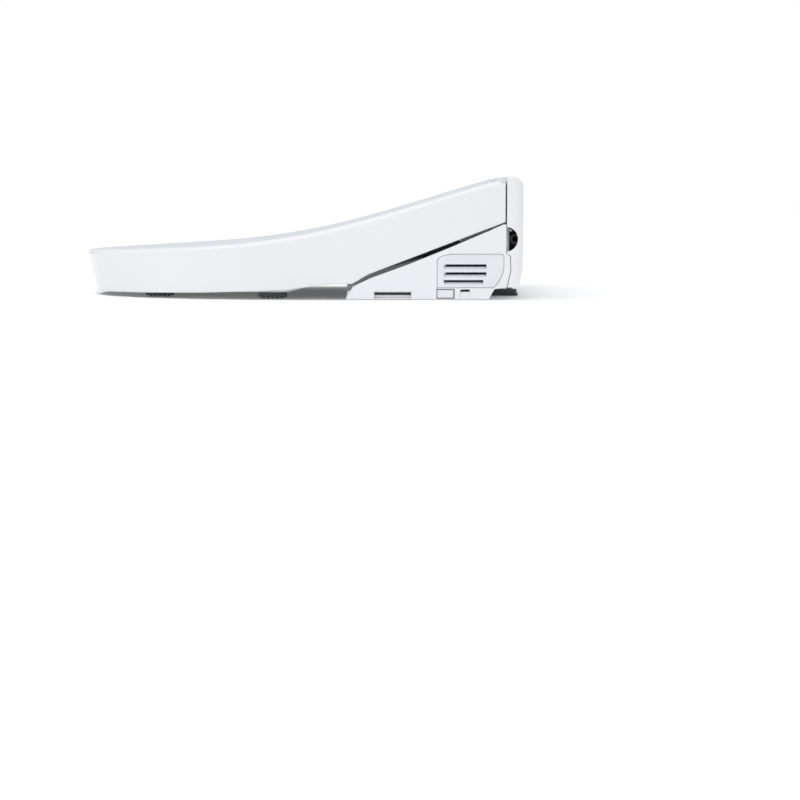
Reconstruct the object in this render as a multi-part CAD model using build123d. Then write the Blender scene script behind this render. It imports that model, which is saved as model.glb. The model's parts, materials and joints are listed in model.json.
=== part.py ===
from build123d import *
import os
from math import cos, pi, radians, sin

# Electric bidet seat, in millimetres. +X is the seat's left-hand side seen from the front, -Y its
# front, +Z up. The origin lies midway between the two bowl bolts, on the bowl rim plane z = 0.

# ---- driving dimensions ----
HALF_WIDTH = 191.0        # half the width at the bowl rim
SIDE_DRAFT = 4.0 / 150    # the sides lean out as they rise
FRONT_LOW = -473.0        # nose at the bowl rim
NOSE_DRAFT = 34.0 / 150   # the nose leans forward as it rises
STRAIGHT_END = -215.0     # the sides are straight behind this, elliptical in front of it
REAR_END = 43.6
TOP_Z = 142.0
LID_WALL = 3.5
LID_CROWN = 2.6           # the lid stands this much higher in the middle than at its sides
HINGE_Y, HINGE_Z = 17.0, 135.2
BARREL_R = 5.4
LID_REAR = HINGE_Y + BARREL_R
PIN_R = 2.5
KNUCKLE_X = (120.0, 160.0)        # housing knuckle on the hinge line
KNUCKLE_R = 5.2
ARM_X = (161.5, 170.0)            # seat arm beside it
DAMPER_R = 4.0
SEAT_HALF = 179.0
SEAT_FRONT = -466.0
SEAT_REAR = -75.0
SEAT_WALL = 3.0
SEAT_UNDER_Z = 8.0
COVER_FRONT = 24.2        # front edge of the rear cover
CASE_HALF = 186.5
HOUSING_HALF = 160.0
CASE_WALL = 2.5
SPLIT_Z = 18.0            # lower case below, top cover above
CASE_SCREW_X, CASE_SCREW_Y = 150.0, (-120.0, -70.0)
CHEEK_IN = 186.9
BOLT_SPACING = 140.0
BOLT_HOLE_R = 5.5
POCKET_HALF, POCKET_FRONT, POCKET_Z = 96.0, -48.0, 14.0
WAND_R = 6.7
WAND_LENGTH = 157.0
WAND_STROKE = 85.0
WAND_SLOPE = 17.0
WAND_TIP_Y, WAND_TIP_Z = -150.0, 12.0
TIP_LENGTH = 22.0
MODULE = 1.0
PINION_TEETH = 16
PINION_S = 85.0           # how far up the slope from the tip the pinion sits
RACK_X = 11.0             # pitch line of the rack
GAP = 0.3                 # general clearance between loose parts
RUN = 0.05                # radial clearance of a running fit
FAN_Y, FAN_Z = -70.0, 20.0          # deodoriser fan axis
BLOWER_Y, BLOWER_Z = 1.5, 92.0      # dryer blower axis
OUTLET = (-20.5, -2.5)              # the blower's outlet, front and back
INLET_Y, INLET_Z, INLET_R = -8.0, 34.0, 10.4775

LID_TOP = [(-510, 53.2), (-474, 54.8), (-385, 59.8), (-286, 67.2), (-187, 83.3), (-88, 110),
           (-13, 132.9), (HINGE_Y, HINGE_Z + BARREL_R), (45, TOP_Z)]
SKIRT_BOTTOM = [(-520, 3.2), (-332, 7), (-234, 10.5), (-183, 17.8), (-156, 18), (-136.7, 29.2),
                (LID_REAR, 89.8), (60, 104.5)]
SEAT_TOP = [(-480, 45.6), (-330, 48), (-236, 55), (-150, 66), (-90, 73.5), (-60, 75.5)]
SEAT_BOTTOM = [(-480, SEAT_UNDER_Z), (-230, SEAT_UNDER_Z), (-150, 32), (-90, 50), (-60, 56)]
CHEEK_SIDE = [(-163.5, 0), (-155, 15), (-135, 24.5), (-88, 41.7), (-42, 60.3), (5, 80.4),
              (20, 87.2), (23.5, 87), (23.5, 54), (28, 50), (28.5, 33), (24, 14), (10, 12), (3, 0)]
REAR_SIDE = [(COVER_FRONT, TOP_Z), (COVER_FRONT, 54.2), (28.7, 50.2), (29.2, 33), (24.8, 14),
             (37.5, 14), (39.5, 20), (REAR_END, 38), (REAR_END, TOP_Z)]
CASE_SIDE = [(-163, 0), (-161, SPLIT_Z), (-152, 25), (-90, 43), (-60, 49.5), (-30, 50),
             (-22, 115), (8, 124.5), (24, 126.5), (24, 12.5), (10, 12.5), (3, 0)]
HUMP_SIDE = [(-92, 20), (-92, 43), (-76, 49.2), (-18, 69), (-18, 20)]
DECK_SIDE = [(-163, 0), (-161, 10), (-150, 11), (-135, 14), (COVER_FRONT, 74), (24, 12.5),
             (10, 12.5), (3, 0)]
LOUVRE = [(-57, 13.4), (-57, 46.5), (-52, 50.5), (-40, 53), (19, 53), (21, 51), (21, 33), (15, 20),
          (9, 13.4)]
SLOTS = [(40.8, 0.5), (31.6, 0.5), (22.6, -3.3)]    # top edge and rear end of each louvre slot
GRIP = [(210, 12.8), (193.2, 11.5), (189.6, 8.4), (180, 8.4), (180, 5.4), (186.1, 5.0), (187.8, -1),
        (210, -1)]
GRIP_REAR, GRIP_LENGTH = -87.0, 43.0
OUTLET_Y, OUTLET_Z = 22.5, 70.0     # centre of the D-shaped cord outlet
GLAND_Y = 33.5
COVER_SCREW_X = (-120, 0, 120)
REAR_TOP_RADIUS = 13.0


# ---- helpers ----
def box(x, y, z):
    """Block between two limits on each axis."""
    size = [limits[1] - limits[0] for limits in (x, y, z)]
    centre = [(limits[0] + limits[1]) / 2 for limits in (x, y, z)]
    return Pos(*centre) * Box(*size)


def prism_x(points, x_low, x_high):
    """Side outline of (y, z) points, run from x_low to x_high."""
    face = make_face(Polyline(*points, close=True))
    return extrude(Plane.YZ.offset(x_low) * face, x_high - x_low)


def cyl_x(radius, x_low, x_high, y, z):
    return Pos((x_low + x_high) / 2, y, z) * Rot(0, 90, 0) * Cylinder(radius, x_high - x_low)


def cyl_y(radius, y_low, y_high, x, z):
    return Pos(x, (y_low + y_high) / 2, z) * Rot(90, 0, 0) * Cylinder(radius, y_high - y_low)


def cyl_z(radius, z_low, z_high, x, y):
    return Pos(x, y, (z_low + z_high) / 2) * Cylinder(radius, z_high - z_low)


def mirrored(shape):
    return shape.mirror(Plane.YZ)


def both_sides(shape):
    return shape + mirrored(shape)


def plan_outline(half, front, z, rear=REAR_END, corner=0):
    """D-shaped plan outline: straight sides, a half ellipse in front, a straight rear."""
    nose = EllipticalCenterArc((0, STRAIGHT_END), half, STRAIGHT_END - front,
                               180, arc_size=180)
    back = Polyline((half, STRAIGHT_END), (half, rear), (-half, rear), (-half, STRAIGHT_END))
    face = make_face([nose] + list(back.edges()))
    if corner:
        face = fillet([v for v in face.vertices() if v.Y > rear - 1], corner)
    return Pos(0, 0, z) * face


def envelope(inset=0.0, rear=REAR_END, corner=0):
    """Drafted outer surface that the lid, cheeks and rear cover share."""
    sections = []
    for z in (-20.0, 170.0):
        half = HALF_WIDTH + SIDE_DRAFT * z - inset
        front = FRONT_LOW - NOSE_DRAFT * z + inset
        sections.append(plan_outline(half, front, z, rear, corner))
    return loft(sections)


def crowned_block(drop=0.0):
    """Everything under the lid's top surface, which is crowned across its width."""
    sections = []
    for x, lower in ((-200, LID_CROWN), (0, 0), (200, LID_CROWN)):
        top = [(y, z - lower - drop) for y, z in LID_TOP]
        curve = Spline(*top)
        sides = Polyline(top[-1], (top[-1][0], -30), (top[0][0], -30), top[0])
        face = make_face([curve] + list(sides.edges()))
        sections.append(Plane.YZ.offset(x) * face)
    return loft(sections)


def soft_edges(shape, edges, radius):
    """Fillet that falls back to smaller radii where an edge is short."""
    for share in (1.0, 0.7, 0.4, 0.2):
        try:
            rounded = fillet(edges, radius * share)
            if rounded.is_valid:
                return rounded
        except Exception:
            continue
    return shape


def wand_frame(s=0.0, x=0.0):
    """Local frame on the wand's axis: z runs up the slope, y is square to it and up."""
    angle = radians(WAND_SLOPE)
    along = Vector(0, cos(angle), sin(angle))
    origin = Vector(x, WAND_TIP_Y, WAND_TIP_Z) + along * s
    return Plane(origin=origin, x_dir=(1, 0, 0), z_dir=(0, cos(angle), sin(angle)))


def on_wand(shape, s=0.0, x=0.0):
    return wand_frame(s, x).location * shape


def screw_z(x, y, z, length, radius=1.6, head=3.2):
    """Pan-head screw, head down, with its shank going up from z."""
    return cyl_z(head, z - 2.0, z, x, y) + cyl_z(radius, z, z + length, x, y)


def interpolate(points, y):
    for (y0, z0), (y1, z1) in zip(points, points[1:]):
        if y0 <= y <= y1:
            return z0 + (z1 - z0) * (y - y0) / (y1 - y0)
    raise ValueError(y)


def seat_top_at(y):
    return interpolate(SEAT_TOP, y)


def lid_under_at(y):
    return interpolate(LID_TOP, y) - LID_WALL


# ---- lid ----
def lid_shell():
    above_skirt = prism_x(SKIRT_BOTTOM + [(60, 170), (-520, 170)], -210, 210)
    ahead_of_axis = box((-210, 210), (-530, HINGE_Y), (-10, 170))
    outer = envelope() & crowned_block() & ahead_of_axis
    rim = outer.edges().filter_by(lambda e: e.center().Z > 50 and e.bounding_box().max.Y < HINGE_Y + 1)
    rim = [e for e in rim if e.length > 60 and e.bounding_box().size.Y > 40]
    outer = soft_edges(outer, rim, 6.0)
    inner = envelope(LID_WALL) & crowned_block(LID_WALL + 0.3)
    inner = inner & box((-210, 210), (-530, HINGE_Y + 20), (-10, 170))
    skirt_back = envelope() & box((-210, 210), (HINGE_Y - 0.01, LID_REAR), (0, HINGE_Z))
    skin = (outer + skirt_back) & above_skirt
    hem = [e for e in skin.edges() if e.center().Z < 92 and e.length > 20 and e.bounding_box().size.Y > 15]
    skin = soft_edges(skin, hem, 1.6)
    shell = skin - inner
    barrel = cyl_x(BARREL_R, -188.5, 188.5, HINGE_Y, HINGE_Z)
    shell = shell + barrel
    low, high = KNUCKLE_X[0] - 1, ARM_X[1] + 1
    notch = box((low, high), (HINGE_Y - 9, HINGE_Y + 9), (HINGE_Z - 9, HINGE_Z + 9))
    bore = cyl_x(PIN_R + RUN, low - 8, high + 9, HINGE_Y, HINGE_Z)
    return shell - both_sides(notch) - both_sides(bore)


def lid_bumpers():
    """Four rubber buffers under the lid that meet the seat."""
    pads = Part()
    for x, y in ((130, -330), (150, -170)):
        post = cyl_z(7, seat_top_at(y + 7) + GAP, lid_under_at(y) + 0.2, x, y)
        pads += both_sides(post & crowned_block(LID_WALL + 0.3))
    return pads


def hinge_pins():
    """One pin each side that the lid and the seat both turn on."""
    return both_sides(cyl_x(PIN_R, KNUCKLE_X[0] - 8, ARM_X[1] + 9, HINGE_Y, HINGE_Z))


def hinge_dampers():
    """Soft-close damper barrels on the pins, inside the housing's knuckles."""
    barrel = cyl_x(DAMPER_R - RUN, KNUCKLE_X[0] + 0.2, KNUCKLE_X[1] - 0.2, HINGE_Y, HINGE_Z)
    return both_sides(barrel - cyl_x(PIN_R + RUN, 100, 200, HINGE_Y, HINGE_Z))


# ---- seat ----
def seat_block(inset=0.0, drop=0.0, lift=0.0, hole_grow=0.0):
    """Seat ring: rounded D outline with an elongated opening, shaped from the side."""
    side = [(y, z - drop) for y, z in SEAT_TOP] + [(y, z + lift) for y, z in reversed(SEAT_BOTTOM)]
    outline = loft([
        plan_outline(SEAT_HALF + 2 - inset, SEAT_FRONT + inset, 0, SEAT_REAR - inset, 14),
        plan_outline(SEAT_HALF - 6 - inset, SEAT_FRONT + 6 + inset, 90, SEAT_REAR - inset, 14)])
    ring = outline & prism_x(side, -200, 200)
    return ring - seat_hole(hole_grow)


def seat_hole(grow=0.0):
    """The opening: an egg shape, a little wider at the top."""
    sections = []
    for z, widen in ((-10, -2), (100, 10)):
        half, front, rear = 104 + widen + grow, -404 - widen - grow, -132 + widen / 2 + grow
        middle = -235
        nose = EllipticalCenterArc((0, middle), half, middle - front, 180, arc_size=180)
        tail = EllipticalCenterArc((0, middle), half, rear - middle, 0, arc_size=180)
        sections.append(Pos(0, 0, z) * make_face([nose, tail]))
    return loft(sections)


def seat_arm():
    """Arm that reaches from one rear corner of the ring up to the hinge line."""
    side = [(-96, 57), (-96, 66), (-78, 76), (HINGE_Y - 5, HINGE_Z - 1.5),
            (HINGE_Y + 3.4, HINGE_Z - 3.9), (-66, 64), (-79, 58)]
    return prism_x(side, *ARM_X) + cyl_x(KNUCKLE_R, *ARM_X, HINGE_Y, HINGE_Z)


def seat_top_shell():
    outer = seat_block()
    top = [e for e in outer.edges() if e.center().Z > 44 and e.length > 40]
    outer = soft_edges(outer, top, 9.0)
    inner = seat_block(SEAT_WALL, SEAT_WALL, -30, SEAT_WALL)
    arm = seat_arm()
    shell = (outer - inner) + arm + mirrored(arm)
    return shell - both_sides(cyl_x(PIN_R + RUN, ARM_X[0] - 1, ARM_X[1] + 1, HINGE_Y, HINGE_Z))


def seat_bottom_shell():
    """Plate that closes the ring from below, just inside the top shell's walls."""
    inset = SEAT_WALL + GAP
    plate = seat_block(inset, 0, 0, inset)
    plate = plate - seat_block(inset - 1, 0, 3.0, inset - 1)
    low, high = ARM_X
    return plate - both_sides(box((low - 0.5, high + 0.5), (-99, -40), (40, 80)))


def seat_heater():
    """Foil heater bonded under the sitting surface."""
    sheet = seat_block(SEAT_WALL + 8, SEAT_WALL + 0.2, -30, SEAT_WALL + 8)
    below = seat_block(0, SEAT_WALL + 0.9, -30, 0)
    return (sheet - below) & box((-170, 170), (-455, -100), (30, 80))


def seat_bumpers():
    """Four rubber feet that rest on the bowl rim."""
    feet = Part()
    for x, y in ((98, -388), (150, -250)):
        foot = box((x - 9, x + 9), (y - 17, y + 17), (0, SEAT_UNDER_Z))
        foot = fillet(foot.edges().filter_by(Axis.Z), 8)
        feet += both_sides(foot)
    return feet


# ---- case ----
def case_block(inset=0.0):
    """Solid under the case's skin: low nose, wing decks and main housing."""
    housing = prism_x(shrunk(CASE_SIDE, inset), -HOUSING_HALF + inset, HOUSING_HALF - inset)
    deck = prism_x(shrunk(DECK_SIDE, inset), HOUSING_HALF - 2 + inset, CASE_HALF - inset)
    hump = prism_x(shrunk(HUMP_SIDE, inset), -17 + inset, 17 - inset)
    return housing + both_sides(deck) + hump


def shrunk(points, inset):
    """Outline moved inwards by inset."""
    if not inset:
        return points
    face = make_face(Polyline(*points, close=True))
    smaller = offset(face, -inset, kind=Kind.INTERSECTION)
    wire = smaller.faces()[0].outer_wire()
    return [(edge.position_at(0).X, edge.position_at(0).Y) for edge in wire.order_edges()]


def plate_pocket(grow=0.0):
    return box((-POCKET_HALF - grow, POCKET_HALF + grow), (POCKET_FRONT - grow, 80), (-5, POCKET_Z + grow))


def wand_mouth():
    mouth = box((-11, 11), (-170, -120), (0.8, 24))
    return fillet(mouth.edges().filter_by(Axis.Y), 4)


def dryer_mouth():
    return box((34, 74), (-170, -158), (4.5, 15.5))


def grip_recess():
    """Trim recess: a bevel leads in to a slot, with a sloping sill below it."""
    face = make_face(Polyline(*GRIP, close=True))
    return extrude(Plane.XZ.offset(-GRIP_REAR) * face, GRIP_LENGTH)


def notch_recess():
    """Small trapezoid recess beside the button, open behind its top edge."""
    notch = prism_x([(-30.8, 1.6), (-30, 11.6), (-18.6, 11.6), (-17.8, 1.6)], 189.6, 210)
    return notch + box((182, 195), (-29.6, -19.0), (8.9, 11.6))


def full_case():
    skin = case_block() - plate_pocket()
    hollow = case_block(CASE_WALL) - plate_pocket(CASE_WALL)
    case = skin - hollow
    low, high = KNUCKLE_X
    knuckle = cyl_x(KNUCKLE_R, low, high, HINGE_Y, HINGE_Z)
    knuckle += box((low, high), (HINGE_Y - 5, HINGE_Y + 5), (123, HINGE_Z))
    knuckle -= cyl_x(DAMPER_R, low - 1, high + 1, HINGE_Y, HINGE_Z)
    case = case + both_sides(knuckle)
    return case - wand_mouth() - dryer_mouth()


def screw_posts(radius, low, high):
    posts = Part()
    for y in CASE_SCREW_Y:
        posts += both_sides(cyl_z(radius, low, high, CASE_SCREW_X, y))
    return posts


def lower_case(case):
    tray = case & box((-200, 200), (-200, 60), (-1, SPLIT_Z))
    tray = tray + screw_posts(5, 1, 10) - screw_posts(1.75, -1, 11) - screw_posts(3.4, -1, 2.6)
    lip = box((84.8, POCKET_HALF + 1), (-40, 2), (0.6, 4.6))
    tray = tray + both_sides(lip)
    tray = tray - grip_recess() - notch_recess() - button_hole()
    return tray - latch_slot()


def top_cover(case):
    cover = case & box((-200, 200), (-200, 60), (SPLIT_Z + 0.2, 160))
    window = box((-HOUSING_HALF + 4, HOUSING_HALF - 4), (20, 30), (SPLIT_Z + 3, 121))
    cover = cover - window - filter_window() - inlet_window()
    bosses = screw_posts(4, 10.2, 60) & case_block(1.0)
    return cover + bosses - screw_posts(1.65, 9, 16)


def rear_cover():
    wall, top_wall = 3.0, 3.2
    solid = envelope(0, REAR_END, 12) & rear_block(REAR_SIDE, REAR_TOP_RADIUS)
    ridge = [e for e in solid.edges() if e.center().Z > TOP_Z - 1 and abs(e.center().X) > 150]
    solid = soft_edges(solid, ridge, 5.0)
    ceiling = TOP_Z - top_wall
    inside = [(y - wall, min(z, ceiling)) for y, z in REAR_SIDE[5:]] + [(24, ceiling), (24, 14)]
    cavity = envelope(top_wall, REAR_END - wall, 9) & rear_block(inside, REAR_TOP_RADIUS - wall)
    cavity = cavity & box((-210, 210), (COVER_FRONT + wall, 60), (17.2, ceiling))
    window = box((-HOUSING_HALF + 4, HOUSING_HALF - 4), (20, 30), (SPLIT_Z + 3, 121))
    d_hole = cyl_x(14.5, 180, 210, OUTLET_Y, OUTLET_Z)
    screw_holes = Part()
    for x in COVER_SCREW_X:
        screw_holes += cyl_z(1.8, 10, 20, x, 33)
    return solid - cavity - window - d_hole - screw_holes - rear_vents()


def rear_block(points, radius):
    """Side outline run right across, with its upper rear corner rounded."""
    side = make_face(Polyline(*points, close=True))
    rear = max(y for y, z in points)
    top = max(z for y, z in points)
    side = fillet([v for v in side.vertices() if v.X > rear - 1 and v.Y > top - 1], radius)
    side = fillet([v for v in side.vertices() if v.X > rear - 1 and v.Y < 45], radius)
    return extrude(Plane.YZ.offset(-210) * side, 420)


def rear_vents():
    """Two banks of round-ended cooling slots through the rear wall."""
    slot_length, slot_height, pitch, rows = 66.0, 3.0, 7.0, 5
    vents = Part()
    for row in range(rows):
        for x in (-95, 95):
            slot = Plane.XZ.offset(-46) * SlotOverall(slot_length, slot_height)
            vents += Pos(x, 0, 75.6 + row * pitch) * extrude(slot, 8)
    return vents


def rear_cover_screws():
    screws = Part()
    for x in COVER_SCREW_X:
        screws += screw_z(x, 33, 14, 10)
    return screws


# ---- right cheek and what sits in it ----
def cheek():
    body = envelope() & prism_x(CHEEK_SIDE, CHEEK_IN, 210)
    edges = [e for e in body.edges() if e.center().X > 190 and e.length > 8]
    return soft_edges(body, edges, 0.8)


def louvre_opening():
    return prism_x(LOUVRE, 180, 210)


def filter_window():
    return box((180, 190), (-53, 15), (SPLIT_Z + 1, 49))


def button_hole():
    return box((180, 200), (-57.5, -36.5), (1, 12.2))


def latch_slot():
    return box((80, 184), (-50.5, -43.5), (2.6, 10.5))


def cheek_right():
    return cheek() - louvre_opening() - button_hole() - notch_recess() - grip_recess()


def cheek_left():
    return mirrored(cheek()) - inlet_window()


def deodoriser_cover():
    """Louvred cover that pulls off sideways to change the deodorising cartridge."""
    plate = envelope(0.25) & prism_x(shrunk(LOUVRE, 0.5), CHEEK_IN, 210)
    for top, rear in SLOTS:
        plate -= slot_wedge(-49, rear, top)
    for y in (-50, 10):
        plate += box((184.2, 187.2), (y - 3, y + 3), (24, 42))
    return plate


def slot_wedge(front, rear, top):
    """Louvre: open at its top edge, with a floor that slopes down and outwards."""
    profile = [(184, top), (210, top), (210, top - 7.2), (193, top - 6.6), (187.5, top - 2.7),
               (184, top - 2.7)]
    face = make_face(Polyline(*profile, close=True))
    wedge = extrude(Plane.XZ.offset(-rear) * face, rear - front)
    corners = [e for e in wedge.edges().filter_by(Axis.X) if e.center().Z < top - 5]
    return soft_edges(wedge, corners, 2.0)


def deodoriser_cartridge():
    case = box((164, 183), (-46, 6), (20, 44)) - box((168, 190), (-43, 3), (23, 41))
    for step in range(6):
        y = -38 + step * 7
        case += box((170, 180), (y, y + 2), (22.5, 41.5))
    return case


def deodoriser_fan():
    frame = box((163, 183.5), (FAN_Y - 11, FAN_Y + 11), (FAN_Z - 11, FAN_Z + 11))
    frame += box((165, 181), (FAN_Y - 6, FAN_Y + 6), (CASE_WALL, FAN_Z - 10))
    return frame - cyl_x(9.5, 166, 190, FAN_Y, FAN_Z) - cyl_x(2.5 + RUN, 160, 167, FAN_Y, FAN_Z)


def deodoriser_impeller():
    wheel = cyl_x(3, 168, 178, FAN_Y, FAN_Z) + cyl_x(2.5, 163.5, 168.5, FAN_Y, FAN_Z)
    for step in range(8):
        blade = box((168.5, 177.5), (FAN_Y + 2.5, FAN_Y + 8.3), (FAN_Z - 0.4, FAN_Z + 0.4))
        wheel += blade.rotate(Axis((0, FAN_Y, FAN_Z), (1, 0, 0)), step * 45)
    return wheel


def release_button():
    cap = envelope(0.3) & box((187.2, 210), (-56.8, -37.6), (1.9, 11.3))
    cap = soft_edges(cap, [e for e in cap.edges() if e.center().X > 190.5], 1.0)
    return cap + box((176, 187.3), (-50, -44), (4, 9))


def release_latch():
    bar = box((98, 172), (-50, -44), (4, 9)) + box((86.4, 98.1), (-50, -44), (5.4, 9))
    return bar


def release_spring():
    """Flat return spring: a strip bent over behind the button's stem, 3 mm clear of it."""
    strip = box((178.2, 181.6), (-43.6, -42.9), (4.2, 8.8)) + box((181.0, 181.6), (-43.6, -37.5), (4.2, 8.8))
    return strip


# ---- wand ----
def wand_tube():
    tube = Cylinder(WAND_R, WAND_LENGTH - TIP_LENGTH) - Cylinder(WAND_R - 1.5, WAND_LENGTH)
    tube = Pos(0, 0, (WAND_LENGTH + TIP_LENGTH) / 2) * tube
    return on_wand(tube)


def wand_tip():
    body = Pos(0, 0, TIP_LENGTH / 2) * Cylinder(WAND_R, TIP_LENGTH)
    body = fillet(body.edges().sort_by(Axis.Z)[:1], 4)
    body += Pos(0, 0, TIP_LENGTH + 4) * Cylinder(WAND_R - 1.6, 8)
    body -= Pos(0, 0, TIP_LENGTH / 2 + 8) * Cylinder(3, TIP_LENGTH)
    for s in (6.5, 10.5, 14.5):
        body -= Pos(0, 2 - WAND_R, s) * Rot(90, 0, 0) * Cylinder(0.9, 8)
    return on_wand(body)


def wand_rack():
    """Rack on the wand's side, teeth facing +X."""
    pitch = pi * MODULE
    start, end = PINION_S - 8, PINION_S + WAND_STROKE + 7
    bar = Pos(0, 0, (start + end) / 2) * Box(4.0, 5, end - start)
    rack = Pos(RACK_X - 3.15, 0, 0) * bar
    first = -2
    last = int((end - PINION_S) / pitch) - 1
    for step in range(first, last + 1):
        s = PINION_S + step * pitch
        rack += Pos(RACK_X - 1.15, 0, s) * gear_tooth(2.0, 0.7, 2.0, 5)
    rack -= Pos(0, 0, WAND_LENGTH / 2) * Cylinder(WAND_R, WAND_LENGTH + 60)
    return on_wand(rack)


def gear_tooth(foot, crest, height, face_width):
    """Tooth that stands up along local X, tapers in local Z and is face_width thick in local Y."""
    points = [(0, -foot / 2), (height, -crest / 2), (height, crest / 2), (0, foot / 2)]
    face = make_face(Polyline(*points, close=True))
    return extrude(Plane.XZ * face, face_width / 2, both=True)


def wand_pinion():
    radius = MODULE * PINION_TEETH / 2
    gear = Rot(90, 0, 0) * Cylinder(radius - 1.2, 4.4)
    half_pitch = 180 / PINION_TEETH
    for step in range(PINION_TEETH):
        tooth = Pos(radius - 1.5, 0, 0) * gear_tooth(1.9, 0.7, 2.3, 4.4)
        gear += Rot(0, half_pitch + step * 2 * half_pitch, 0) * tooth
    gear -= Rot(90, 0, 0) * Cylinder(1.5 + RUN, 10)
    return on_wand(gear, PINION_S, RACK_X + radius)


def wand_motor():
    radius = MODULE * PINION_TEETH / 2
    can = Pos(0, 9.4, 0) * Rot(90, 0, 0) * Cylinder(9, 12)
    shaft = Pos(0, 1.0, 0) * Rot(90, 0, 0) * Cylinder(1.5, 7)
    flange = Pos(0, 4.0, 0) * Box(12, 1.2, 26)
    return on_wand(can + shaft + flange, PINION_S, RACK_X + radius)


def wand_guide():
    """Trough that the wand slides in, open above and on the rack's side."""
    length, start = 128.0, 24.0
    trough = Pos(0, 0, start + length / 2) * Box(2 * WAND_R + 5, 11, length)
    trough = Pos(0, 4.2, 0) * trough
    trough -= Pos(0, 0, start + length / 2) * Cylinder(WAND_R + 0.3, length + 2)
    trough -= Pos(7 + WAND_R, 0.6, start + length / 2) * Box(16, 9, length + 2)
    return on_wand(trough)


def nozzle_door():
    """Flap over the wand's mouth, with an arch that lets the wand pass."""
    flap = box((-10.4, 10.4), (-165.0, -163.6), (1.4, 23.4))
    flap = flap - cyl_y(7.6, -170, -160, 0, 8.6) - box((-7.6, 7.6), (-170, -160), (-1, 8.6))
    flap = flap + cyl_x(1.6, -10.4, 10.4, -164.3, 23.4)
    return flap - cyl_x(0.8 + RUN, -12, 12, -164.3, 23.4)


def nozzle_door_pin():
    pin = cyl_x(0.8, -14.5, 14.5, -164.3, 23.4)
    for x in (-13.2, 13.2):
        pin += box((x - 1.2, x + 1.2), (-165.4, -160.5), (22, 24.8))
    return pin


def dryer_flap():
    flap = box((34.6, 73.4), (-163.9, -162.9), (4.9, 14.6))
    flap = flap + cyl_x(1.5, 34.6, 73.4, -163.2, 15.4)
    return flap - cyl_x(0.7 + RUN, 30, 80, -163.2, 15.4)


def dryer_flap_pin():
    pin = cyl_x(0.7, 32.2, 75.8, -163.2, 15.4)
    for x in (33.2, 74.8):
        pin += box((x - 0.9, x + 0.9), (-164.3, -161.5), (14.4, 16.6))
    return pin


# ---- water path ----

def inlet_window():
    return cyl_x(15, -210, -150, INLET_Y, INLET_Z)


def water_inlet():
    """G1/2 threaded spigot for the supply hose, with a flange inside the case."""
    spigot = cyl_x(INLET_R, -190, -172, INLET_Y, INLET_Z) + cyl_x(14, -172, -168, INLET_Y, INLET_Z)
    spigot += cyl_x(8, -168, -150, INLET_Y, INLET_Z)
    return spigot - cyl_x(6, -191, -149, INLET_Y, INLET_Z)


def inlet_strainer():
    cup = cyl_x(5.9, -186, -160, INLET_Y, INLET_Z) - cyl_x(5.0, -187, -162, INLET_Y, INLET_Z)
    return cup


def inlet_valve():
    body = box((-149.5, -112), (-24, 10), (22, 50)) - cyl_x(5, -151, -120, INLET_Y, INLET_Z)
    coil = cyl_z(11, 50, 74, -131, INLET_Y)
    return body + coil


def valve_block():
    block = box((-104, -62), (-16, 14), (22, 44))
    for step in range(3):
        block += cyl_z(5.5, 44, 60, -96 + step * 13.5, -1)
    return block - cyl_x(3, -106, -60, -1, 30)


def water_heater():
    tank = box((-150, -22), (-16, 16), (80, 112))
    tank = fillet(tank.edges().filter_by(Axis.X), 8)
    hollow = box((-147, -25), (-13, 13), (83, 109))
    return tank - fillet(hollow.edges().filter_by(Axis.X), 5)


def water_heater_element():
    rod = cyl_x(3.5, -140, -40, -5, 96) + cyl_x(3.5, -140, -40, 5, 96)
    return rod + box((-42, -38), (-5, 5), (92.5, 99.5))


def water_hoses():
    """Short moulded hoses: inlet valve to valve block, valve block to heater."""
    first = cyl_x(3.5, -112, -104, -8, 30) - cyl_x(2.2, -113, -103, -8, 30)
    second = cyl_z(3.5, 60, 80, -82.5, -1) - cyl_z(2.2, 59, 81, -82.5, -1)
    return first + second


# ---- warm air ----
def dryer_blower():
    front, back = OUTLET
    scroll = cyl_x(22, 92, 122, BLOWER_Y, BLOWER_Z) + box((92, 122), (front, back), (52, BLOWER_Z))
    hollow = cyl_x(20, 94, 120, BLOWER_Y, BLOWER_Z)
    hollow += box((94, 120), (front + 2, back - 2), (50, BLOWER_Z))
    eye = cyl_x(9, 119, 124, BLOWER_Y, BLOWER_Z)
    return scroll - hollow - eye - cyl_x(2.5 + RUN, 90, 95, BLOWER_Y, BLOWER_Z)


def dryer_impeller():
    wheel = cyl_x(17, 96, 98, BLOWER_Y, BLOWER_Z) + cyl_x(4, 96, 112, BLOWER_Y, BLOWER_Z)
    blade_box = box((97.9, 116), (BLOWER_Y + 14.5, BLOWER_Y + 17), (BLOWER_Z - 0.5, BLOWER_Z + 0.5))
    for step in range(18):
        wheel += blade_box.rotate(Axis((0, BLOWER_Y, BLOWER_Z), (1, 0, 0)), step * 20)
    ring = cyl_x(17, 114, 116, BLOWER_Y, BLOWER_Z) - cyl_x(14.5, 113, 117, BLOWER_Y, BLOWER_Z)
    return wheel + ring + cyl_x(2.5, 84, 96.2, BLOWER_Y, BLOWER_Z)


def dryer_motor():
    can = cyl_x(15, 66, 91.8, BLOWER_Y, BLOWER_Z)
    return can - cyl_x(2.5 + RUN, 82, 92, BLOWER_Y, BLOWER_Z)


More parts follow.
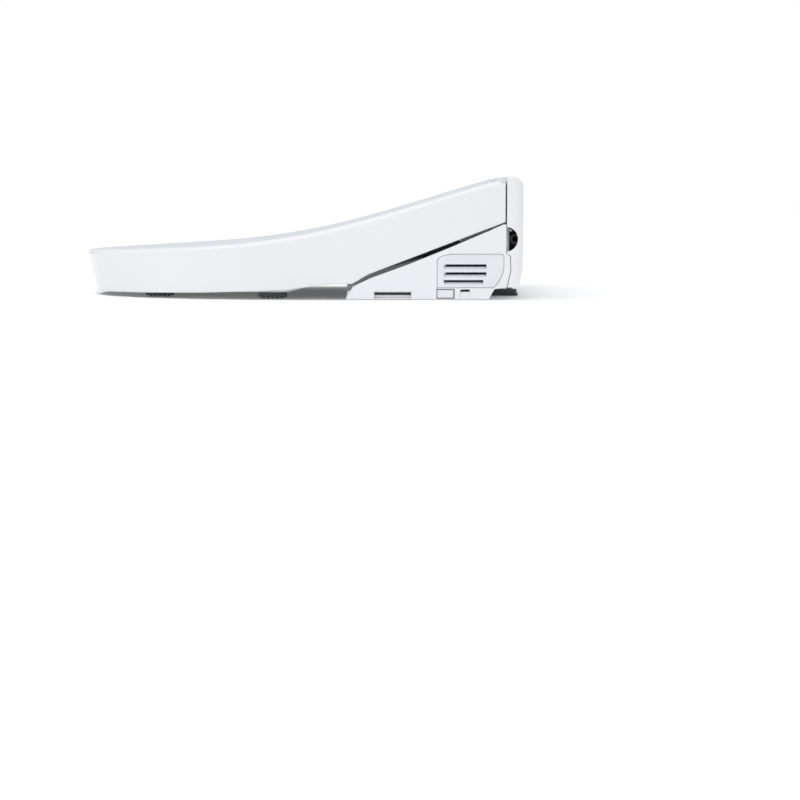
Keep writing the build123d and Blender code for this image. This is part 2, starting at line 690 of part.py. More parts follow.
def dryer_duct():
    """Duct from the blower down to the outlet behind the flap."""
    front, back = OUTLET
    side = [(front, 51.8), (back, 51.8), (back, 36), (-80, 14), (-158, 4.5), (-158, 15.5),
            (-100, 30), (front, 46)]
    bore = [(front + 2, 49.8), (back - 2, 49.8), (back - 2, 37.8), (-80, 16), (-159, 6.2),
            (-159, 13.8), (-100, 28), (front + 2, 44)]
    outer = prism_x(side, 40, 68) + box((40, 122), (front, back), (37, 51.8))
    inner = prism_x(bore, 42, 66) + box((42, 120), (front + 2, back - 2), (39, 49.8))
    mouth = box((94, 120), (front + 2, back - 2), (45, 53))
    return outer - inner - mouth


def dryer_heater():
    front, back = OUTLET
    frame = box((95, 119), (front + 2.6, back - 2.6), (53, 66))
    frame -= box((97, 117), (front + 4, back - 4), (52, 67))
    for step in range(4):
        y = front + 5.4 + step * 2.2
        frame += box((96.5, 117.5), (y, y + 0.8), (55, 64))
    return frame


# ---- electrics ----
def main_board():
    board = box((-18, 58), (16, 17.6), (72, 112))
    for x, z, w, h in ((-8, 84, 14, 14), (20, 84, 10, 8), (40, 90, 10, 10), (20, 102, 12, 6)):
        board += box((x - w / 2, x + w / 2), (13, 16.1), (z - h / 2, z + h / 2))
    return board


def power_board():
    board = box((126, 152), (-20, 22), (60, 61.6))
    for x, y, r, h in ((133, -12, 5, 14), (145, -12, 4, 12)):
        board += cyl_z(r, 61.4, 61.6 + h, x, y)
    return board + box((129, 149), (0, 18), (61.4, 78))


def sensor_window():
    """Dark window in the housing's front face, behind which the occupancy sensor looks out."""
    return box((-14, 14), (-31.4, -27.6), (78, 90)).rotate(Axis((0, -29.5, 84), (1, 0, 0)), -7)


def status_lens():
    return box((60, 84), (-31.4, -27.6), (80, 86)).rotate(Axis((0, -29.5, 83), (1, 0, 0)), -7)


def cord_gland():
    """Strain-relief gland for the mains cord, in the side outlet of the rear cover."""
    sleeve = cyl_x(6, 170, 186, GLAND_Y, OUTLET_Z)
    flange = box((167.5, 170.2), (28, 39.5), (OUTLET_Z - 8.5, OUTLET_Z + 8.5))
    return sleeve + flange - cyl_x(3.4, 166, 187, GLAND_Y, OUTLET_Z)


def case_screws():
    screws = Part()
    for y in CASE_SCREW_Y:
        screws += both_sides(screw_z(CASE_SCREW_X, y, 2.6, 12))
    return screws


# ---- mounting ----
def mounting_plate():
    web = box((-84, 84), (-42, 42), (0, 3))
    for x in (-1, 1):
        rail = box((80, 84), (-40, 40), (2.9, 8.0)) + box((83.9, 92), (-40, 40), (5.0, 8.0))
        web += rail if x > 0 else mirrored(rail)
    for x in (-BOLT_SPACING / 2, BOLT_SPACING / 2):
        web -= box((x - 9, x + 9), (-30, 30), (-1, 4))
    web -= box((-40, 40), (-28, 28), (-1, 4))
    return web


def plate_adjusters():
    """Sliding blocks in the plate's slots that the bowl bolts pass through."""
    blocks = Part()
    for x in (-BOLT_SPACING / 2, BOLT_SPACING / 2):
        block = box((x - 8.8, x + 8.8), (-14, 14), (0, 3.0))
        block += box((x - 10.0 + 0.2, x + 10.0 - 0.2), (-18, 18), (3.0, 6.5))
        blocks += block - cyl_z(BOLT_HOLE_R, -1, 8, x, 0)
    return blocks


def build():
    case = full_case()
    return {
        "lid_shell": lid_shell(),
        "lid_bumpers": lid_bumpers(),
        "hinge_pins": hinge_pins(),
        "hinge_dampers": hinge_dampers(),
        "seat_top_shell": seat_top_shell(),
        "seat_bottom_shell": seat_bottom_shell(),
        "seat_heater": seat_heater(),
        "seat_bumpers": seat_bumpers(),
        "lower_case": lower_case(case),
        "top_cover": top_cover(case),
        "rear_cover": rear_cover(),
        "rear_cover_screws": rear_cover_screws(),
        "case_screws": case_screws(),
        "cheek_right": cheek_right(),
        "cheek_left": cheek_left(),
        "deodoriser_cover": deodoriser_cover(),
        "deodoriser_cartridge": deodoriser_cartridge(),
        "deodoriser_fan": deodoriser_fan(),
        "deodoriser_impeller": deodoriser_impeller(),
        "release_button": release_button(),
        "release_latch": release_latch(),
        "release_spring": release_spring(),
        "wand_tube": wand_tube(),
        "wand_tip": wand_tip(),
        "wand_rack": wand_rack(),
        "wand_pinion": wand_pinion(),
        "wand_motor": wand_motor(),
        "wand_guide": wand_guide(),
        "nozzle_door": nozzle_door(),
        "nozzle_door_pin": nozzle_door_pin(),
        "dryer_flap": dryer_flap(),
        "dryer_flap_pin": dryer_flap_pin(),
        "water_inlet": water_inlet(),
        "inlet_strainer": inlet_strainer(),
        "inlet_valve": inlet_valve(),
        "valve_block": valve_block(),
        "water_heater": water_heater(),
        "water_heater_element": water_heater_element(),
        "water_hoses": water_hoses(),
        "dryer_blower": dryer_blower(),
        "dryer_impeller": dryer_impeller(),
        "dryer_motor": dryer_motor(),
        "dryer_duct": dryer_duct(),
        "dryer_heater": dryer_heater(),
        "main_board": main_board(),
        "power_board": power_board(),
        "sensor_window": sensor_window(),
        "status_lens": status_lens(),
        "cord_gland": cord_gland(),
        "mounting_plate": mounting_plate(),
        "plate_adjusters": plate_adjusters(),
    }


os.makedirs("parts", exist_ok=True)
for name, part in build().items():
    export_step(part, f"parts/{name}.step")
    print(name, round(part.volume / 1000, 2), "cm3")
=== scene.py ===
import bmesh
import bpy
import json
import math
from mathutils import Matrix, Vector


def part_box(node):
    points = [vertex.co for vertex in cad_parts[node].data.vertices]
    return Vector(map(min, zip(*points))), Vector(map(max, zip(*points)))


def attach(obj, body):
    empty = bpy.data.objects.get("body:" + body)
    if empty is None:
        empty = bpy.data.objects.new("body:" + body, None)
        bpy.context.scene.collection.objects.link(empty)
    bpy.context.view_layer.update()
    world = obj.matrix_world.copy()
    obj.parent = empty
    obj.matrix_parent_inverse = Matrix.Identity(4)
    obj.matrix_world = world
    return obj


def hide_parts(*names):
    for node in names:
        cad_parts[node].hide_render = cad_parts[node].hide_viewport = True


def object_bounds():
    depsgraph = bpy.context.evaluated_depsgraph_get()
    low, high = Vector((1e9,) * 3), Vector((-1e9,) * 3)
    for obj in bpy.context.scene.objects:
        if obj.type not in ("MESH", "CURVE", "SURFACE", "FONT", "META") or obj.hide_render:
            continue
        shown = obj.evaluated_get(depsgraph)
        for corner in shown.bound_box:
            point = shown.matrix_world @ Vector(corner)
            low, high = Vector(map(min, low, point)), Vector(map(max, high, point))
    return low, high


MM = 0.001
STUDIO_STRENGTH = 0.8
HORIZON_COLOUR = (0.78, 0.84, 0.92)
SCREW_HEAD = 3.2 * MM               # radius of a screw's head
SCREW_TOP = -1.8 * MM               # height of its top, with the seat of the head at 0

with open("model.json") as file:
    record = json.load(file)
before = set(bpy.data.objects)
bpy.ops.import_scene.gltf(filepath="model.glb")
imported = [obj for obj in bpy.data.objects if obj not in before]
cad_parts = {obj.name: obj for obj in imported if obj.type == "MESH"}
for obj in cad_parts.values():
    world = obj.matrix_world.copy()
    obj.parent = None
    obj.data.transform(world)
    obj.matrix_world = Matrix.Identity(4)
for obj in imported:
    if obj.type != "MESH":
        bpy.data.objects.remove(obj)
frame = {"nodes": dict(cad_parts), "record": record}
CAD_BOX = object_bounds()


# ---- camera, light and floor ----
def make_camera():
    """Side view from +X, slightly above the seat, through a long lens."""
    camera = bpy.data.objects.new("camera", bpy.data.cameras.new("camera"))
    bpy.context.collection.objects.link(camera)
    camera.data.lens = 112.5
    camera.data.sensor_width = 36.0
    camera.data.clip_end = 30.0
    camera.location = (3.1, -0.1, 0.132)
    pitch = math.radians(4.9)
    camera.rotation_euler = (math.radians(90) - pitch, 0, math.radians(90))
    bpy.context.scene.camera = camera


def set_colour_view():
    """Plain display colours, so that white plastic on a white ground stays white."""
    view = bpy.context.scene.view_settings
    view.view_transform = "Standard"
    view.look = "None"
    view.exposure = 0.0


def make_area_light(name, location, target, size, power):
    light = bpy.data.lights.new(name, "AREA")
    light.energy = power
    light.size = size
    lamp = bpy.data.objects.new(name, light)
    bpy.context.collection.objects.link(lamp)
    lamp.location = location
    lamp.rotation_euler = (Vector(target) - Vector(location)).to_track_quat("-Z", "Y").to_euler()


def make_world():
    """White backdrop. The light on the object is a little dimmer, and cooler near the horizon."""
    world = bpy.data.worlds.new("studio")
    bpy.context.scene.world = world
    world.use_nodes = True
    tree = world.node_tree
    output = tree.nodes["World Output"]
    backdrop = tree.nodes["Background"]
    backdrop.inputs["Color"].default_value = (1.0, 1.0, 1.0, 1)
    backdrop.inputs["Strength"].default_value = 1.0
    studio = tree.nodes.new("ShaderNodeBackground")
    studio.inputs["Strength"].default_value = STUDIO_STRENGTH
    direction = tree.nodes.new("ShaderNodeTexCoord")
    height = tree.nodes.new("ShaderNodeSeparateXYZ")
    tree.links.new(direction.outputs["Generated"], height.inputs["Vector"])
    ramp = tree.nodes.new("ShaderNodeValToRGB")
    ramp.color_ramp.elements[0].position = 0.0
    ramp.color_ramp.elements[0].color = (*HORIZON_COLOUR, 1)
    ramp.color_ramp.elements[1].position = 0.45
    ramp.color_ramp.elements[1].color = (1.0, 1.0, 1.0, 1)
    tree.links.new(height.outputs["Z"], ramp.inputs["Fac"])
    tree.links.new(ramp.outputs["Color"], studio.inputs["Color"])
    path = tree.nodes.new("ShaderNodeLightPath")
    chooser = tree.nodes.new("ShaderNodeMixShader")
    tree.links.new(path.outputs["Is Camera Ray"], chooser.inputs["Fac"])
    tree.links.new(studio.outputs["Background"], chooser.inputs[1])
    tree.links.new(backdrop.outputs["Background"], chooser.inputs[2])
    tree.links.new(chooser.outputs["Shader"], output.inputs["Surface"])


def make_sun(strength, direction, softness):
    """Broad soft sun, so that the whole floor is lit alike."""
    light = bpy.data.lights.new("sun", "SUN")
    light.energy = strength
    light.angle = math.radians(softness)
    lamp = bpy.data.objects.new("sun", light)
    bpy.context.collection.objects.link(lamp)
    lamp.rotation_euler = Vector(direction).to_track_quat("-Z", "Y").to_euler()


def make_floor():
    mesh = bpy.data.meshes.new("floor")
    side = 6.0
    mesh.from_pydata([(-side, -side, 0), (side, -side, 0), (side, side, 0), (-side, side, 0)], [],
                     [(0, 1, 2, 3)])
    floor = bpy.data.objects.new("floor", mesh)
    floor.location.z = CAD_BOX[0].z - 0.0005
    bpy.context.collection.objects.link(floor)
    material = new_material("floor")
    shader = principled(material, (0.96, 0.96, 0.965), 0.8)
    shader.inputs["Emission Color"].default_value = (1.0, 1.0, 1.0, 1)
    shader.inputs["Emission Strength"].default_value = 0.07
    floor.data.materials.append(material)


# ---- materials ----
def new_material(name):
    material = bpy.data.materials.new(name)
    material.use_nodes = True
    return material


def principled(material, colour, roughness, metallic=0.0):
    shader = material.node_tree.nodes["Principled BSDF"]
    shader.inputs["Base Color"].default_value = (*colour, 1)
    shader.inputs["Roughness"].default_value = roughness
    shader.inputs["Metallic"].default_value = metallic
    return shader


def tinted(colour, factor):
    return tuple(min(1.0, channel * factor) for channel in colour)


class Nodes:
    """Short way to wire a material's texture nodes."""

    def __init__(self, material):
        self.tree = material.node_tree
        self.shader = self.tree.nodes["Principled BSDF"]
        coordinates = self.tree.nodes.new("ShaderNodeTexCoord")
        self.place = coordinates.outputs["Object"]

    def stretched(self, scale):
        """Object coordinates, scaled by a different amount along each axis."""
        mapping = self.tree.nodes.new("ShaderNodeMapping")
        mapping.inputs["Scale"].default_value = scale
        self.tree.links.new(self.place, mapping.inputs["Vector"])
        return mapping.outputs["Vector"]

    def noise(self, scale, detail, vector=None):
        node = self.tree.nodes.new("ShaderNodeTexNoise")
        node.inputs["Scale"].default_value = scale
        node.inputs["Detail"].default_value = detail
        self.tree.links.new(vector or self.place, node.inputs["Vector"])
        return node.outputs["Fac"]

    def cells(self, scale, feature="F1"):
        node = self.tree.nodes.new("ShaderNodeTexVoronoi")
        node.feature = feature
        node.inputs["Scale"].default_value = scale
        self.tree.links.new(self.place, node.inputs["Vector"])
        return node.outputs["Distance"]

    def spread(self, value, low, high, start=0.3, end=0.7):
        """Maps a texture's start..end to low..high."""
        node = self.tree.nodes.new("ShaderNodeMapRange")
        node.inputs["From Min"].default_value = start
        node.inputs["From Max"].default_value = end
        node.inputs["To Min"].default_value = low
        node.inputs["To Max"].default_value = high
        self.tree.links.new(value, node.inputs["Value"])
        return node.outputs["Result"]

    def mixed(self, value, first, second):
        """Colour that runs from first to second as the value goes from 0 to 1."""
        node = self.tree.nodes.new("ShaderNodeMix")
        node.data_type = "RGBA"
        node.inputs["A"].default_value = (*first, 1)
        node.inputs["B"].default_value = (*second, 1)
        self.tree.links.new(value, node.inputs["Factor"])
        return node.outputs["Result"]

    def added(self, first, second, weight):
        node = self.tree.nodes.new("ShaderNodeMath")
        node.operation = "MULTIPLY_ADD"
        self.tree.links.new(second, node.inputs[0])
        node.inputs[1].default_value = weight
        self.tree.links.new(first, node.inputs[2])
        return node.outputs["Value"]

    def bump(self, height, strength, distance, edge=0.0):
        """Bump from a height; edge rounds off sharp corners by that radius, as a mould does."""
        node = self.tree.nodes.new("ShaderNodeBump")
        if edge:
            corner = self.tree.nodes.new("ShaderNodeBevel")
            corner.samples = 4
            corner.inputs["Radius"].default_value = edge
            self.tree.links.new(corner.outputs["Normal"], node.inputs["Normal"])
        node.inputs["Strength"].default_value = strength
        node.inputs["Distance"].default_value = distance
        self.tree.links.new(height, node.inputs["Height"])
        self.tree.links.new(node.outputs["Normal"], self.shader.inputs["Normal"])

    def drive(self, socket, value):
        self.tree.links.new(value, self.shader.inputs[socket])

    def shade(self, value, colour, darker, lighter):
        """Drives the colour between two tints of it, by a texture's value."""
        ends = tinted(colour, darker), tinted(colour, lighter)
        self.drive("Base Color", self.mixed(self.spread(value, 0, 1), *ends))


def gloss_plastic(name, colour, roughness=0.16, coat=0.35):
    """Polished moulding: faint tone drift, hazy patches in the gloss and a trace of orange peel."""
    material = new_material(name)
    shader = principled(material, colour, roughness)
    shader.inputs["IOR"].default_value = 1.5
    shader.inputs["Coat Weight"].default_value = coat
    shader.inputs["Coat Roughness"].default_value = 0.05
    nodes = Nodes(material)
    drift = nodes.noise(7.0, 2.0)
    nodes.shade(drift, colour, 0.985, 1.01)
    haze = nodes.added(nodes.noise(26.0, 4.0), nodes.noise(420.0, 2.0), 0.25)
    nodes.drive("Roughness", nodes.spread(haze, roughness - 0.02, roughness + 0.02, 0.3, 0.9))
    nodes.bump(nodes.noise(150.0, 1.5), 0.04, 0.0002, 0.0005)
    return material


def matt_plastic(name, colour, roughness=0.45, grain=1400.0, depth=0.00006):
    """Spark-eroded moulding: fine even grain, with slightly shinier rubbed patches."""
    material = new_material(name)
    principled(material, colour, roughness)
    nodes = Nodes(material)
    drift = nodes.noise(14.0, 3.0)
    nodes.shade(drift, colour, 0.96, 1.03)
    rubbed = nodes.noise(35.0, 5.0)
    nodes.drive("Roughness", nodes.spread(rubbed, roughness - 0.08, roughness + 0.07))
    sparks = nodes.added(nodes.cells(grain), nodes.noise(grain * 0.5, 2.0), 0.6)
    nodes.bump(sparks, 0.35, depth, 0.0004)
    return material


def rubber(name, colour):
    material = new_material(name)
    shader = principled(material, colour, 0.7)
    shader.inputs["Specular IOR Level"].default_value = 0.35
    nodes = Nodes(material)
    bloom = nodes.noise(60.0, 5.0)
    nodes.shade(bloom, colour, 0.9, 1.18)
    nodes.drive("Roughness", nodes.spread(nodes.noise(180.0, 3.0), 0.6, 0.82))
    nodes.bump(nodes.noise(900.0, 3.0), 0.3, 0.0001)
    return material


def brushed_metal(name, colour, roughness, grain=(40.0, 900.0, 900.0)):
    """Metal with long fine scratches along X and a cloudy sheen."""
    material = new_material(name)
    shader = principled(material, colour, roughness, 1.0)
    shader.inputs["Anisotropic"].default_value = 0.4
    nodes = Nodes(material)
    scratches = nodes.noise(1.0, 4.0, nodes.stretched(grain))
    clouds = nodes.noise(30.0, 3.0)
    nodes.shade(clouds, colour, 0.9, 1.08)
    nodes.drive("Roughness", nodes.spread(scratches, roughness - 0.07, roughness + 0.12))
    nodes.bump(scratches, 0.2, 0.00005)
    return material


def acetal(name, colour):
    """Natural acetal: milky, waxy and a little translucent."""
    material = new_material(name)
    shader = principled(material, colour, 0.35)
    shader.inputs["Subsurface Weight"].default_value = 0.25
    shader.inputs["Subsurface Scale"].default_value = 0.002
    nodes = Nodes(material)
    flow = nodes.noise(1.0, 3.0, nodes.stretched((60.0, 25.0, 60.0)))
    nodes.shade(flow, colour, 0.95, 1.04)
    nodes.drive("Roughness", nodes.spread(nodes.noise(200.0, 3.0), 0.28, 0.42))
    nodes.bump(nodes.noise(700.0, 2.0), 0.15, 0.00005)
    return material


def foil(name, colour):
    """Crinkled aluminium foil."""
    material = new_material(name)
    principled(material, colour, 0.3, 1.0)
    nodes = Nodes(material)
    crinkle = nodes.added(nodes.cells(120.0, feature="SMOOTH_F1"), nodes.noise(320.0, 4.0), 0.5)
    nodes.shade(crinkle, colour, 0.85, 1.1)
    nodes.drive("Roughness", nodes.spread(nodes.noise(90.0, 3.0), 0.2, 0.42))
    nodes.bump(crinkle, 0.5, 0.0004)
    return material


def circuit_board(name, colour):
    """Green solder mask over copper tracks that show as slightly lighter blocks."""
    material = new_material(name)
    principled(material, colour, 0.35)
    nodes = Nodes(material)
    tracks = nodes.tree.nodes.new("ShaderNodeTexBrick")
    tracks.inputs["Scale"].default_value = 260.0
    tracks.inputs["Mortar Size"].default_value = 0.03
    tracks.inputs["Color1"].default_value = (*tinted(colour, 1.0), 1)
    tracks.inputs["Color2"].default_value = (*tinted(colour, 1.5), 1)
    tracks.inputs["Mortar"].default_value = (*tinted(colour, 2.2), 1)
    nodes.tree.links.new(nodes.place, tracks.inputs["Vector"])
    nodes.drive("Base Color", tracks.outputs["Color"])
    nodes.drive("Roughness", nodes.spread(nodes.noise(120.0, 3.0), 0.25, 0.45))
    nodes.bump(tracks.outputs["Fac"], 0.3, 0.00005)
    return material


def smoked(name, colour):
    material = new_material(name)
    shader = principled(material, colour, 0.08)
    shader.inputs["Coat Weight"].default_value = 0.6
    nodes = Nodes(material)
    nodes.drive("Roughness", nodes.spread(nodes.noise(60.0, 4.0), 0.05, 0.16))
    nodes.drive("Base Color", nodes.mixed(nodes.noise(30.0, 2.0), colour, tinted(colour, 1.6)))
    nodes.bump(nodes.noise(200.0, 1.0), 0.03, 0.0002)
    return material


def brass(name, colour):
    """Turned brass with fine tool marks round the spigot's axis."""
    material = new_material(name)
    principled(material, colour, 0.28, 1.0)
    nodes = Nodes(material)
    marks = nodes.noise(1.0, 2.0, nodes.stretched((2600.0, 40.0, 40.0)))
    tarnish = nodes.noise(90.0, 5.0)
    nodes.shade(tarnish, colour, 0.8, 1.1)
    nodes.drive("Roughness", nodes.spread(marks, 0.2, 0.4))
    nodes.bump(marks, 0.25, 0.00006)
    return material


MATERIALS = {
    "lid_white": gloss_plastic("lid_white", (0.83, 0.835, 0.86)),
    "cover_white": gloss_plastic("cover_white", (0.83, 0.835, 0.86)),
    "case_white": gloss_plastic("case_white", (0.81, 0.815, 0.84), 0.24, 0.2),
    "seat_white": gloss_plastic("seat_white", (0.82, 0.825, 0.85), 0.2),
    "seat_base_white": gloss_plastic("seat_base_white", (0.76, 0.765, 0.79), 0.3, 0.1),
    "case_grey": matt_plastic("case_grey", (0.74, 0.745, 0.77)),
    "trim_grey": matt_plastic("trim_grey", (0.79, 0.795, 0.83), 0.34, 2200.0, 0.00003),
    # grey_rubber: the seat feet are near-black, darker than the real grey-white feet, as painted
    # shade in the gap under the lid
    "grey_rubber": rubber("grey_rubber", (0.13, 0.135, 0.145)),
    "black_rubber": rubber("black_rubber", (0.025, 0.025, 0.028)),
    "steel": brushed_metal("steel", (0.6, 0.61, 0.63), 0.3),
    "wand_steel": brushed_metal("wand_steel", (0.7, 0.71, 0.73), 0.16, (700.0, 50.0, 700.0)),
    "brass": brass("brass", (0.75, 0.55, 0.25)),
    "acetal": acetal("acetal", (0.82, 0.82, 0.79)),
    # dark_plastic: near-black; on the mounting plate this darkness is painted shade under the unit's
    # rear
    "dark_plastic": matt_plastic("dark_plastic", (0.06, 0.06, 0.065), 0.5),
    "amber_plastic": matt_plastic("amber_plastic", (0.55, 0.42, 0.24), 0.4),
    "heater_foil": foil("heater_foil", (0.78, 0.78, 0.8)),
    "board_green": circuit_board("board_green", (0.02, 0.12, 0.05)),
    "smoked_window": smoked("smoked_window", (0.02, 0.02, 0.024)),
}


def dress_cad_nodes():
    """Gives each CAD node its slot's material."""
    for entry in frame["record"]["subparts"]:
        node = frame["nodes"][entry["node"]]
        node.data.materials.clear()
        node.data.materials.append(MATERIALS[entry["material_slot"]])


# ---- mesh helpers ----
def add_piece(name, mesh, body, slot, place=None, crease=35.0):
    """Links a mesh as a piece that rides on a body and takes its finish from a slot."""
    if place is not None:
        mesh.transform(place)
    mesh.shade_smooth()
    mesh.set_sharp_from_angle(angle=math.radians(crease))
    mesh.materials.append(MATERIALS[slot])
    piece = bpy.data.objects.new(name, mesh)
    bpy.context.collection.objects.link(piece)
    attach(piece, body)
    return piece


def mesh_of(bm, name):
    bmesh.ops.remove_doubles(bm, verts=bm.verts, dist=1e-6)
    bmesh.ops.dissolve_degenerate(bm, edges=bm.edges, dist=1e-7)
    bmesh.ops.recalc_face_normals(bm, faces=bm.faces)
    mesh = bpy.data.meshes.new(name)
    bm.to_mesh(mesh)
    bm.free()
    return mesh


def lathe(bm, rings, segments=48, closed=False):
    """Turns (radius, height) rings about Z. A radius may be a function of the angle."""
    loops = []
    for radius, height in rings:
        loop = []
        for step in range(segments):
            angle = 2 * math.pi * step / segments
            reach = radius(angle) if callable(radius) else radius
            loop.append(bm.verts.new((reach * math.cos(angle), reach * math.sin(angle), height)))
        loops.append(loop)
    pairs = list(zip(loops, loops[1:]))
    if closed:
        pairs.append((loops[-1], loops[0]))
    for lower, upper in pairs:
        for step in range(segments):
            after = (step + 1) % segments
            bm.faces.new((lower[step], lower[after], upper[after], upper[step]))


def rounded_slab(bm, centre, size, radius, edge, corner_steps=6):
    """Slab with rounded corners in plan and a softened rim above and below."""
    half_x, half_y, half_z = (value / 2 for value in size)
    levels = [(-half_z, edge), (-half_z + edge * 0.3, edge * 0.3), (-half_z + edge, 0.0),
              (half_z - edge, 0.0), (half_z - edge * 0.3, edge * 0.3), (half_z, edge)]
    loops = []
    for height, inset in levels:
        loop = []
        for quarter, (sign_x, sign_y) in enumerate(((1, 1), (-1, 1), (-1, -1), (1, -1))):
            for step in range(corner_steps + 1):
                angle = math.pi / 2 * (quarter + step / corner_steps)
                reach = radius - inset
                x = centre[0] + sign_x * (half_x - radius) + reach * math.cos(angle)
                y = centre[1] + sign_y * (half_y - radius) + reach * math.sin(angle)
                loop.append(bm.verts.new((x, y, centre[2] + height)))
        loops.append(loop)
    count = len(loops[0])
    for lower, upper in zip(loops, loops[1:]):
        for step in range(count):
            after = (step + 1) % count
            bm.faces.new((lower[step], lower[after], upper[after], upper[step]))
    bm.faces.new(loops[0])
    bm.faces.new(loops[-1])


def facing(axis, at):
    """Places a piece turned about Z so that its Z runs along another axis, from a point."""
    return Matrix.Translation(at) @ Vector(axis).to_track_quat("Z", "Y").to_matrix().to_4x4()


def middle(name):
    low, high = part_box(name)
    return (Vector(low) + Vector(high)) / 2


# ---- pieces ----
def thread_rings(pitch, depth, outer, end):
    """Rings whose radius changes with the angle, so that together they make a thread's turns."""
    def winding(height):
        fade = (1 - min(1.0, height / (2 * MM))) * 0.6 * MM

        def radius(angle):
            phase = (height / pitch - angle / (2 * math.pi)) % 1.0
            return outer - depth * abs(2 * phase - 1) - fade
        return radius

    heights = [row * pitch / 6 for row in range(1, int(end / (pitch / 6)))]
    return [(winding(height), height) for height in heights]


def threaded_inlet():
    """The brass inlet with its thread's real turns, in place of the plain spigot."""
    low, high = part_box("water_inlet")
    centre = middle("water_inlet")
    overall = high[0] - low[0]
    pitch, depth, outer = 1.814 * MM, 0.95 * MM, 10.4775 * MM
    bore, flange, tail = 6 * MM, 14 * MM, 8 * MM
    thread_end, flange_end, bevel = 18 * MM, 22 * MM, 0.6 * MM
    rings = [(bore, bevel), (bore + bevel, 0.0), (outer - 1.4 * MM, 0.0)]
    rings += thread_rings(pitch, depth, outer, thread_end)
    rings += [(outer - depth, thread_end), (flange - bevel, thread_end), (flange, thread_end + bevel),
              (flange, flange_end), (tail, flange_end), (tail, overall), (bore, overall)]
    bm = bmesh.new()
    lathe(bm, rings, 64, closed=True)
    place = facing((1, 0, 0), (low[0], centre.y, centre.z))
    name = "inlet_spigot_threaded"
    piece = add_piece(name, mesh_of(bm, name), "unit", "brass", place, 25)
    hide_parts("water_inlet")


def screw_rings(length):
    """Outline of a pan-head screw, from its tip to the rim of its recess."""
    pitch, shank, head = 0.9 * MM, 1.6 * MM, SCREW_HEAD
    rings = [(0.35 * MM, length), (shank * 0.8, length - 1.6 * MM)]
    for turn in range(int((length - 2 * MM) / pitch), 0, -1):
        rings += [(shank * 0.72, turn * pitch + 0.35 * MM), (shank, turn * pitch)]
    rings += [(shank, 0.0), (head, 0.0), (head, -0.5 * MM), (head * 0.97, -0.95 * MM)]
    return rings + [(head * 0.86, -1.5 * MM), (head * 0.72, SCREW_TOP)]


def cross_outline():
    arm, width = SCREW_HEAD * 0.62, SCREW_HEAD * 0.17
    quarter = [(arm, width), (width, width), (width, arm)]
    upper_half = quarter + [(-x, y) for x, y in reversed(quarter)]
    return upper_half + [(-x, -y) for x, y in upper_half]


def ring_pairs(items):
    return list(zip(items, items[1:] + items[:1]))


def cut_cross(bm, rim):
    """Fills a screw's round rim in to a cross-shaped hole, with its own walls and floor."""
    outline = cross_outline()
    upper = [bm.verts.new((x, y, SCREW_TOP)) for x, y in outline]
    lower = [bm.verts.new((x * 0.8, y * 0.8, SCREW_TOP + 1.1 * MM)) for x, y in outline]
    edges = [bm.edges.get(pair) for pair in ring_pairs(rim)]
    edges += [bm.edges.new(pair) for pair in ring_pairs(upper)]
    bmesh.ops.triangle_fill(bm, use_beauty=True, edges=edges)
    for (above, above_next), (below, below_next) in zip(ring_pairs(upper), ring_pairs(lower)):
        bm.faces.new((above, above_next, below_next, below))
    bm.faces.new(lower)


def pan_head_screw(bm, at, up, length):
    """Screw whose domed head faces away from up, with a cross recess and thread turns."""
    start, around = len(bm.verts), 24
    lathe(bm, screw_rings(length), around)
    bm.verts.ensure_lookup_table()
    bm.faces.new(bm.verts[start:start + around])
    cut_cross(bm, bm.verts[len(bm.verts) - around:])
    bm.verts.ensure_lookup_table()
    bmesh.ops.transform(bm, matrix=facing(up, at), verts=bm.verts[start:])


def screws(node, name, spots, length):
    """Screws in place of a CAD group, one at each (x, y), heads down at the group's foot."""
    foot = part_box(node)[0][2]
    bm = bmesh.new()
    for x, y in spots:
        pan_head_screw(bm, (x, y, foot + 2 * MM), (0, 0, 1), length)
    piece = add_piece(name, mesh_of(bm, name), "unit", "steel", crease=40)
    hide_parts(node)


def corners_of(node, inset):
    """The four plan corners of a node's box, moved in by inset."""
    low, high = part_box(node)
    return [(x, y) for x in (low[0] + inset, high[0] - inset)
            for y in (low[1] + inset, high[1] - inset)]


def all_screws():
    spots = corners_of("case_screws", SCREW_HEAD)
    screws("case_screws", "case_screws_cross_head", spots, 12 * MM)
    low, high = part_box("rear_cover_screws")
    y = (low[1] + high[1]) / 2
    spots = [(x, y) for x in (low[0] + SCREW_HEAD, 0.0, high[0] - SCREW_HEAD)]
    screws("rear_cover_screws", "rear_cover_screws_cross_head", spots, 10 * MM)


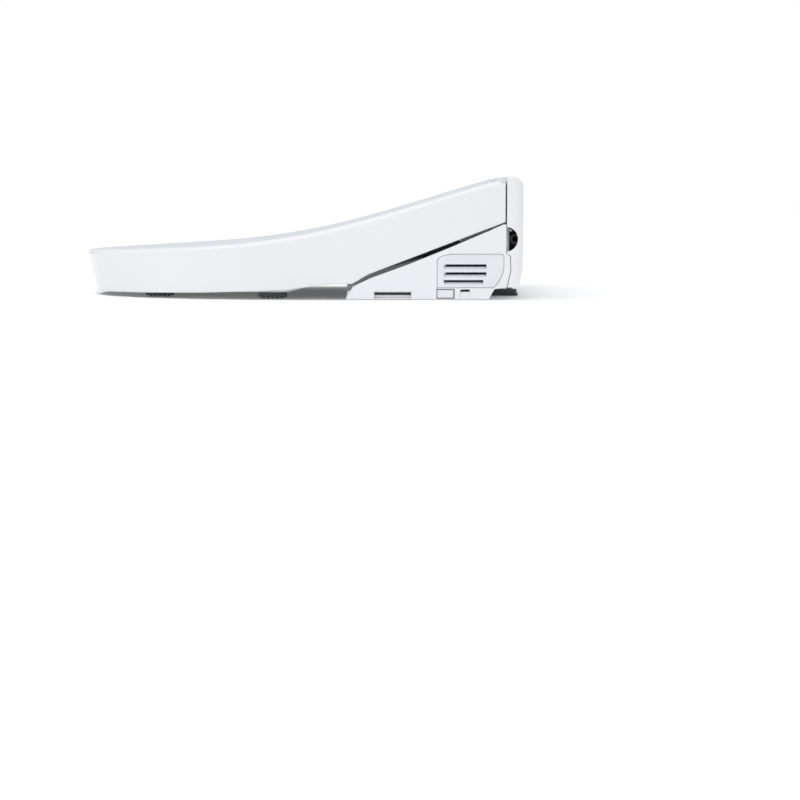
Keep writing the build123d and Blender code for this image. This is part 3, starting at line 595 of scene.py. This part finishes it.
def seat_feet():
    """Rubber feet with a soft rim and a ribbed sole, in place of the plain blocks."""
    low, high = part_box("seat_bumpers")
    length, width, height = 34 * MM, 18 * MM, high[2] - low[2]
    front_x, front_y = 98 * MM, low[1] + length / 2
    back_x, back_y = high[0] - width / 2, high[1] - length / 2
    sole = 1.2 * MM
    bm = bmesh.new()
    for x, y in ((front_x, front_y), (back_x, back_y)):
        for side in (-1, 1):
            centre = (side * x, y, low[2] + sole + (height - sole) / 2)
            rounded_slab(bm, centre, (width, length, height - sole), 8 * MM, 1.2 * MM)
            for rib in range(5):
                spot = (side * x, y + (rib - 2) * 5.4 * MM, low[2] + sole * 0.8)
                rounded_slab(bm, spot, (width * 0.72, 3 * MM, sole * 1.6), 1.4 * MM, 0.5 * MM, 4)
    # the feet wear grey_rubber, whose near-black colour is painted shade in the gap under the lid
    piece = add_piece("seat_feet_ribbed", mesh_of(bm, "seat_feet_ribbed"), "seat", "grey_rubber")
    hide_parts("seat_bumpers")


def dryer_grille():
    """Bars across the warm-air outlet, behind its flap."""
    low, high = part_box("dryer_flap")
    bars = 7
    size = (1.0 * MM, 2.4 * MM, high[2] - low[2] - 2 * MM)
    bm = bmesh.new()
    for bar in range(bars):
        x = low[0] + (high[0] - low[0]) * (bar + 0.5) / bars
        centre = (x, high[1] + 3.2 * MM, (low[2] + high[2]) / 2 - 1 * MM)
        rounded_slab(bm, centre, size, 0.45 * MM, 0.2 * MM, 3)
    add_piece("dryer_grille", mesh_of(bm, "dryer_grille"), "unit", "dark_plastic")


def status_lamps():
    """Three small domed lamps on the status lens."""
    low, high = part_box("status_lens")
    centre = middle("status_lens")
    tilt = math.radians(7)
    outwards = Vector((0, -math.cos(tilt), -math.sin(tilt)))
    lamps, radius, rise, steps = 3, 1.1 * MM, 0.45 * MM, 6
    turns = [math.pi / 2 * step / steps for step in range(steps)]
    dome = [(radius * math.cos(turn), rise * math.sin(turn)) for turn in turns]
    rings = [(radius, -0.3 * MM)] + dome + [(0.02 * MM, rise)]
    bm = bmesh.new()
    for lamp in range(lamps):
        start = len(bm.verts)
        x = low[0] + (high[0] - low[0]) * (lamp + 0.5) / lamps
        lathe(bm, rings, 20)
        bm.verts.ensure_lookup_table()
        face_at = Vector((x, low[1] + 0.25 * MM, centre.z))
        bmesh.ops.transform(bm, matrix=facing(outwards, face_at), verts=bm.verts[start:])
    add_piece("status_lamps", mesh_of(bm, "status_lamps"), "unit", "acetal")


make_camera()
make_world()
set_colour_view()
make_sun(0.75, (-0.45, 0.35, -1.0), 50)
make_area_light("side", (3.4, -0.6, 1.0), (0, -0.1, 0.06), 2.0, 3)
make_floor()
dress_cad_nodes()
threaded_inlet()
all_screws()
seat_feet()
dryer_grille()
status_lamps()
